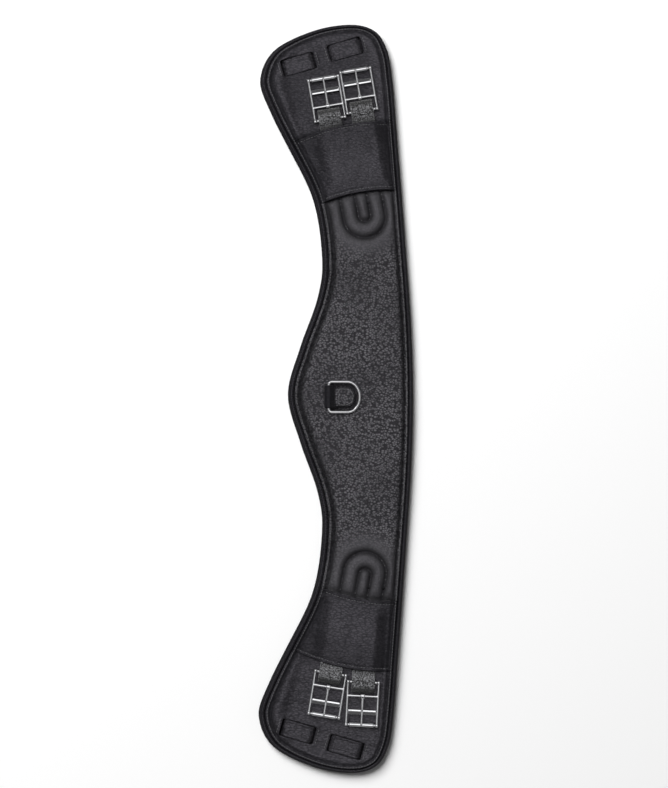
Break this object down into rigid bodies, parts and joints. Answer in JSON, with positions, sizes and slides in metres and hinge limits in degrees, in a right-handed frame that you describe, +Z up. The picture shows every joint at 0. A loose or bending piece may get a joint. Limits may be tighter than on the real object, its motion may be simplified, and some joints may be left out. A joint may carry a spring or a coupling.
{
  "type": "saddle girth",
  "caption": "Short anatomic saddle girth in padded black leather, waisted each side of a front bulge, with paired roller buckles on elastic straps at the ends and a D-ring in the middle.",
  "frame": {"origin": "under the middle of the girth, on the plane its lining rests on", "axes": "+Z up out of the outer face, +Y along the girth to the near end, +X to the rear (gently bowed) edge"},
  "size_m": [0.1557, 0.76, 0.0213],
  "materials": {
    "lining_leather": "soft smooth black leather, semi-matt",
    "front_leather": "pebble-grained black leather, low sheen",
    "cover_leather": "smooth black leather, soft sheen",
    "strap_elastic": "black pebbled elastic strap",
    "foam": "dark grey soft foam, inside",
    "webbing": "black woven reinforcing web, inside",
    "stainless_steel": "polished stainless steel"
  },
  "bodies": {
    "root": {"lining_leather": "lining_leather", "foam_padding": "foam", "load_web": "webbing", "front_wadding": "foam", "front_leather": "front_leather", "d_ring_loop": "front_leather", "near_end_facing": "cover_leather", "near_anchor_tab": "webbing", "near_strap_cover": "cover_leather", "near_front_keeper": "cover_leather", "near_rear_keeper": "cover_leather", "off_end_facing": "cover_leather", "off_anchor_tab": "webbing", "off_strap_cover": "cover_leather", "off_front_keeper": "cover_leather", "off_rear_keeper": "cover_leather"},
    "near_front_strap": {"near_front_buckle_strap": "strap_elastic"},
    "near_front_frame": {"near_front_buckle_frame": "stainless_steel"},
    "near_front_tongue": {"near_front_buckle_tongue": "stainless_steel"},
    "near_front_roller": {"near_front_buckle_roller": "stainless_steel"},
    "near_rear_strap": {"near_rear_buckle_strap": "strap_elastic"},
    "near_rear_frame": {"near_rear_buckle_frame": "stainless_steel"},
    "near_rear_tongue": {"near_rear_buckle_tongue": "stainless_steel"},
    "near_rear_roller": {"near_rear_buckle_roller": "stainless_steel"},
    "off_front_strap": {"off_front_buckle_strap": "strap_elastic"},
    "off_front_frame": {"off_front_buckle_frame": "stainless_steel"},
    "off_front_tongue": {"off_front_buckle_tongue": "stainless_steel"},
    "off_front_roller": {"off_front_buckle_roller": "stainless_steel"},
    "off_rear_strap": {"off_rear_buckle_strap": "strap_elastic"},
    "off_rear_frame": {"off_rear_buckle_frame": "stainless_steel"},
    "off_rear_tongue": {"off_rear_buckle_tongue": "stainless_steel"},
    "off_rear_roller": {"off_rear_buckle_roller": "stainless_steel"},
    "d_ring": {"d_ring": "stainless_steel"}
  },
  "joints": [
    {"name": "near_front_strap_stretch", "type": "slide", "parent": "root", "child": "near_front_strap", "axis": [-0.1668, 0.986, 0], "range_m": [0, 0.02]},
    {"name": "near_front_frame_swing", "type": "hinge", "parent": "near_front_strap", "child": "near_front_frame", "pos_m": [-0.0056, 0.281, 0.0129], "axis": [0.986, 0.1668, 0], "range_deg": [0, 75]},
    {"name": "near_front_tongue_swing", "type": "hinge", "parent": "near_front_frame", "child": "near_front_tongue", "pos_m": [-0.0079, 0.29461, 0.0129], "axis": [0.986, 0.1668, 0], "range_deg": [0, 110]},
    {"name": "near_front_roller_spin", "type": "hinge", "parent": "near_front_frame", "child": "near_front_roller", "pos_m": [-0.01269, 0.3229, 0.0129], "axis": [0.986, 0.1668, 0], "continuous": true},
    {"name": "near_rear_strap_stretch", "type": "slide", "parent": "root", "child": "near_rear_strap", "axis": [-0.1668, 0.986, 0], "range_m": [0, 0.02]},
    {"name": "near_rear_frame_swing", "type": "hinge", "parent": "near_rear_strap", "child": "near_rear_frame", "pos_m": [0.0272, 0.2895, 0.0129], "axis": [0.986, 0.1668, 0], "range_deg": [0, 75]},
    {"name": "near_rear_tongue_swing", "type": "hinge", "parent": "near_rear_frame", "child": "near_rear_tongue", "pos_m": [0.0249, 0.30311, 0.0129], "axis": [0.986, 0.1668, 0], "range_deg": [0, 110]},
    {"name": "near_rear_roller_spin", "type": "hinge", "parent": "near_rear_frame", "child": "near_rear_roller", "pos_m": [0.02011, 0.33141, 0.0129], "axis": [0.986, 0.1668, 0], "continuous": true},
    {"name": "off_front_strap_stretch", "type": "slide", "parent": "root", "child": "off_front_strap", "axis": [-0.1599, -0.9871, 0], "range_m": [0, 0.02]},
    {"name": "off_front_frame_swing", "type": "hinge", "parent": "off_front_strap", "child": "off_front_frame", "pos_m": [-0.005, -0.2802, 0.0129], "axis": [-0.9871, 0.1599, 0], "range_deg": [0, 75]},
    {"name": "off_front_tongue_swing", "type": "hinge", "parent": "off_front_frame", "child": "off_front_tongue", "pos_m": [-0.00721, -0.29382, 0.0129], "axis": [-0.9871, 0.1599, 0], "range_deg": [0, 110]},
    {"name": "off_front_roller_spin", "type": "hinge", "parent": "off_front_frame", "child": "off_front_roller", "pos_m": [-0.01179, -0.32215, 0.0129], "axis": [-0.9871, 0.1599, 0], "continuous": true},
    {"name": "off_rear_strap_stretch", "type": "slide", "parent": "root", "child": "off_rear_strap", "axis": [-0.0506, -0.9987, 0], "range_m": [0, 0.02]},
    {"name": "off_rear_frame_swing", "type": "hinge", "parent": "off_rear_strap", "child": "off_rear_frame", "pos_m": [0.0278, -0.2892, 0.0129], "axis": [-0.9987, 0.0506, 0], "range_deg": [0, 75]},
    {"name": "off_rear_tongue_swing", "type": "hinge", "parent": "off_rear_frame", "child": "off_rear_tongue", "pos_m": [0.0271, -0.30298, 0.0129], "axis": [-0.9987, 0.0506, 0], "range_deg": [0, 110]},
    {"name": "off_rear_roller_spin", "type": "hinge", "parent": "off_rear_frame", "child": "off_rear_roller", "pos_m": [0.02565, -0.33165, 0.0129], "axis": [-0.9987, 0.0506, 0], "continuous": true},
    {"name": "d_ring_swing", "type": "hinge", "parent": "root", "child": "d_ring", "pos_m": [-0.007, -0.0033, 0.0182], "axis": [0, -1, 0], "range_deg": [0, 175]}
  ]
}
